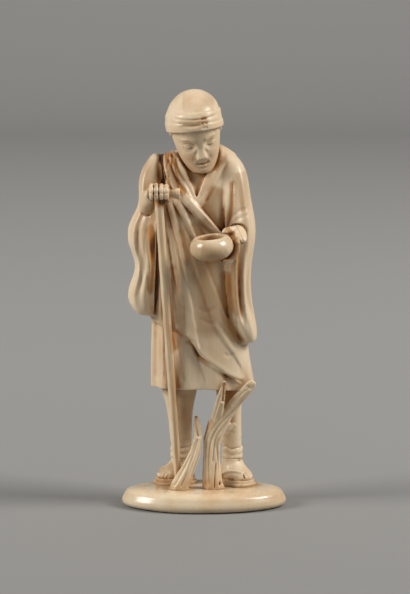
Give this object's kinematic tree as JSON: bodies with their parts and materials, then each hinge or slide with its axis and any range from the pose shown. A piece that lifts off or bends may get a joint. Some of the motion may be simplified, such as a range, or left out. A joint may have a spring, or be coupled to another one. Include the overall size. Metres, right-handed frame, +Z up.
{
  "type": "carved figurine",
  "caption": "Carved standing figure in a long robe and shawl that leans on a staff with a crossbar and holds a small bowl, on an oval base with tree stumps.",
  "frame": {"origin": "centre of the oval base's underside, on the surface it stands on", "axes": "+Z up, -Y towards the viewer of the figure's front, +X to that viewer's right (the figure's left)"},
  "size_m": [0.071, 0.0557, 0.1805],
  "materials": {
    "carved_ivory": "carved ivory, softly polished, amber stain in the folds",
    "polished_ivory": "smooth polished ivory with faint grain",
    "stained_ivory": "tool-cut ivory with warm brown stain",
    "bamboo_peg": "plain split bamboo, hidden"
  },
  "bodies": {
    "root": {"robe": "carved_ivory", "head": "carved_ivory", "right_sleeve": "carved_ivory", "left_sleeve": "carved_ivory", "right_hand": "carved_ivory", "left_hand": "carved_ivory", "right_leg": "carved_ivory", "left_leg": "carved_ivory", "right_foot": "carved_ivory", "left_foot": "carved_ivory", "base": "polished_ivory", "bowl": "polished_ivory", "staff": "stained_ivory", "crossbar": "stained_ivory", "stump_short": "stained_ivory", "stump_forked": "stained_ivory", "neck_peg": "bamboo_peg", "right_sleeve_pegs": "bamboo_peg", "left_sleeve_pegs": "bamboo_peg", "right_wrist_peg": "bamboo_peg", "left_wrist_peg": "bamboo_peg", "bowl_pin": "bamboo_peg", "right_hip_peg": "bamboo_peg", "left_hip_peg": "bamboo_peg", "right_ankle_peg": "bamboo_peg", "left_ankle_peg": "bamboo_peg", "right_foot_pegs": "bamboo_peg", "left_foot_pegs": "bamboo_peg", "stump_short_peg": "bamboo_peg", "stump_forked_pegs": "bamboo_peg"}
  },
  "joints": []
}
